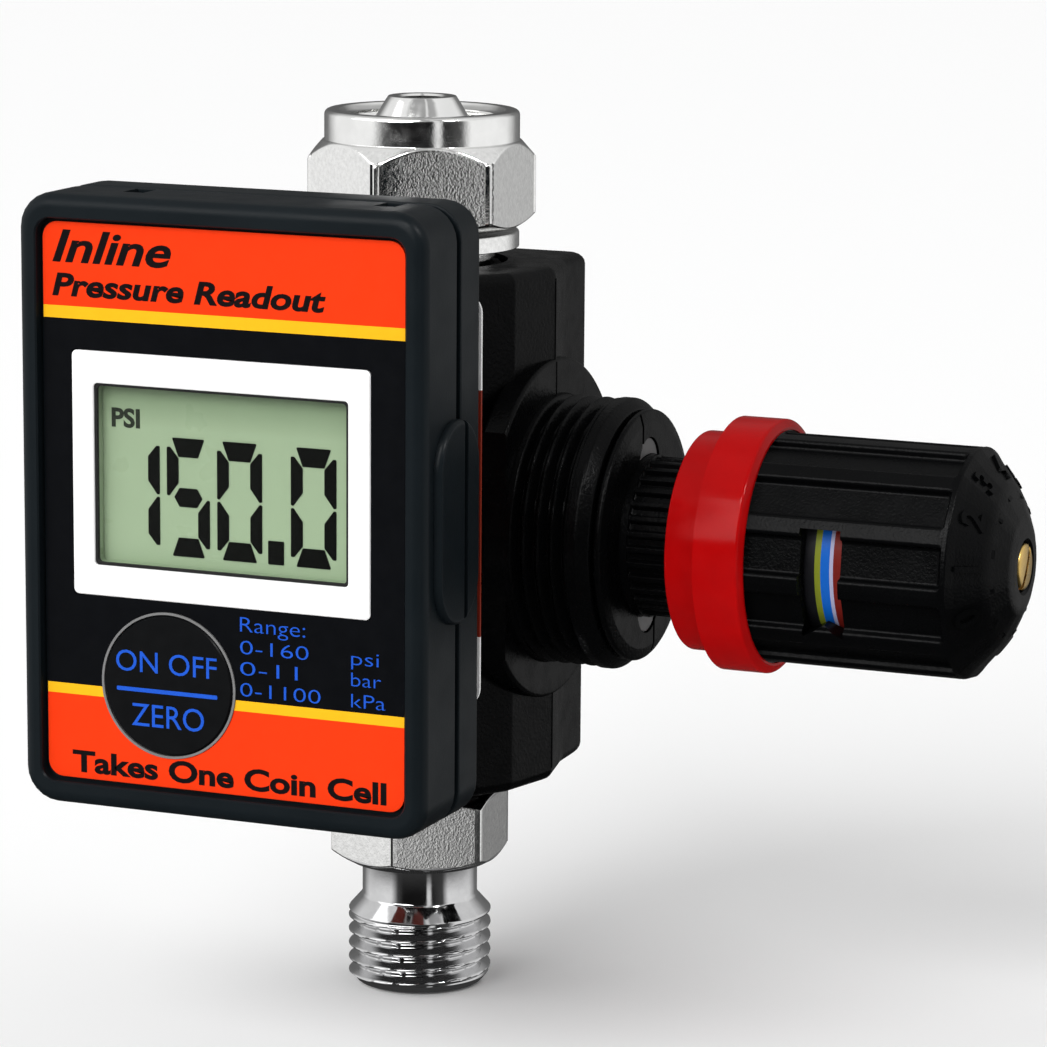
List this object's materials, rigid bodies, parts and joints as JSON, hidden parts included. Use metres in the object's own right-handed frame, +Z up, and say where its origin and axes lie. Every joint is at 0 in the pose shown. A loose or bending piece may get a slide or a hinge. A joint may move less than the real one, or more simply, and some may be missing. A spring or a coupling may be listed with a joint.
{
  "type": "inline air pressure regulator with digital gauge",
  "caption": "Inline compressed-air regulator: push-lock adjusting knob with a colour scale window, swivel outlet nut, male inlet thread and a battery digital pressure gauge on a side stem.",
  "frame": {"origin": "centre of the male inlet thread's end face, on the port axis", "axes": "+Z up the port line from inlet to outlet, +X along the adjusting knob's axis towards its tip, -Y out of the gauge's face"},
  "size_m": [0.0767, 0.0535, 0.0819],
  "materials": {
    "body_plastic": "fine moulded texture",
    "case_plastic": "satin",
    "button_plastic": "satin",
    "red_plastic": "gloss",
    "nickel_plate": "plated brass, turned and shot-blasted flats",
    "brass": "turned",
    "spring_steel": "drawn wire and sheet",
    "seal_rubber": "matte",
    "face_label": "printed orange, yellow and black overlay",
    "white_trim": "satin white",
    "clear_lens": "clear",
    "screen": "grey-green liquid crystal",
    "board": "solder mask",
    "scale_print": "printed colour bands"
  },
  "bodies": {
    "regulator": {"regulator_body": "body_plastic", "inlet_fitting": "nickel_plate", "inlet_oring": "seal_rubber", "filter_screen": "spring_steel", "valve_seat": "brass", "valve_spring": "spring_steel", "valve_plug": "nickel_plate", "plug_oring": "seal_rubber", "regulating_spring": "spring_steel", "bonnet": "body_plastic", "outlet_fitting": "nickel_plate", "outlet_oring": "seal_rubber", "outlet_nipple": "nickel_plate", "gauge_stem": "nickel_plate", "gauge_oring": "seal_rubber", "pressure_sensor": "spring_steel", "gauge_front_shell": "case_plastic", "gauge_back_shell": "case_plastic", "rear_label": "white_trim", "label_overlay": "face_label", "lcd_bezel": "white_trim", "lcd_window": "clear_lens", "lcd_panel": "screen", "tact_switch": "spring_steel", "circuit_board": "board", "battery_cell": "spring_steel", "battery_clip": "spring_steel"},
    "piston": {"piston": "brass", "piston_oring": "seal_rubber"},
    "poppet": {"valve_poppet": "brass", "poppet_seal": "seal_rubber"},
    "spring_seat": {"spring_seat_nut": "brass"},
    "spindle": {"adjusting_spindle": "brass", "spindle_clip": "spring_steel"},
    "knob": {"knob": "body_plastic", "knob_core": "brass", "knob_screw": "brass", "red_lock_ring": "red_plastic"},
    "scale_sleeve": {"pressure_scale_sleeve": "scale_print"},
    "outlet_nut": {"swivel_nut": "nickel_plate"},
    "button": {"zero_button": "button_plastic"}
  },
  "joints": [
    {"name": "knob_turn", "type": "hinge", "parent": "regulator", "child": "spindle", "pos_m": [0, 0, 0.0435], "axis": [1, 0, 0], "range_deg": [-90, 1080]},
    {"name": "knob_lock", "type": "slide", "parent": "spindle", "child": "knob", "axis": [-1, 0, 0], "range_m": [0, 0.003]},
    {"name": "spring_seat_travel", "type": "slide", "parent": "regulator", "child": "spring_seat", "axis": [1, 0, 0], "range_m": [-0.00026, 0.00302], "deforming": ["regulating_spring"]},
    {"name": "scale_travel", "type": "slide", "parent": "regulator", "child": "scale_sleeve", "axis": [1, 0, 0], "range_m": [-0.00026, 0.00302]},
    {"name": "piston_stroke", "type": "slide", "parent": "regulator", "child": "piston", "axis": [-1, 0, 0], "range_m": [0, 0.001], "stiffness_N_per_m": 2000},
    {"name": "poppet_stroke", "type": "slide", "parent": "regulator", "child": "poppet", "axis": [-1, 0, 0], "range_m": [0, 0.001], "deforming": ["valve_spring"]},
    {"name": "outlet_nut_spin", "type": "hinge", "parent": "regulator", "child": "outlet_nut", "pos_m": [0, 0, 0.0715], "axis": [0, 0, 1], "continuous": true},
    {"name": "zero_button_press", "type": "slide", "parent": "regulator", "child": "button", "axis": [0, 1, 0], "range_m": [0, 0.0006], "stiffness_N_per_m": 600}
  ],
  "couplings": [
    {"joint": "spring_seat_travel", "follows": "knob_turn", "m_per_rad": 0.00015915},
    {"joint": "scale_travel", "follows": "knob_turn", "m_per_rad": 0.00015915},
    {"joint": "poppet_stroke", "follows": "piston_stroke", "ratio": 1}
  ]
}
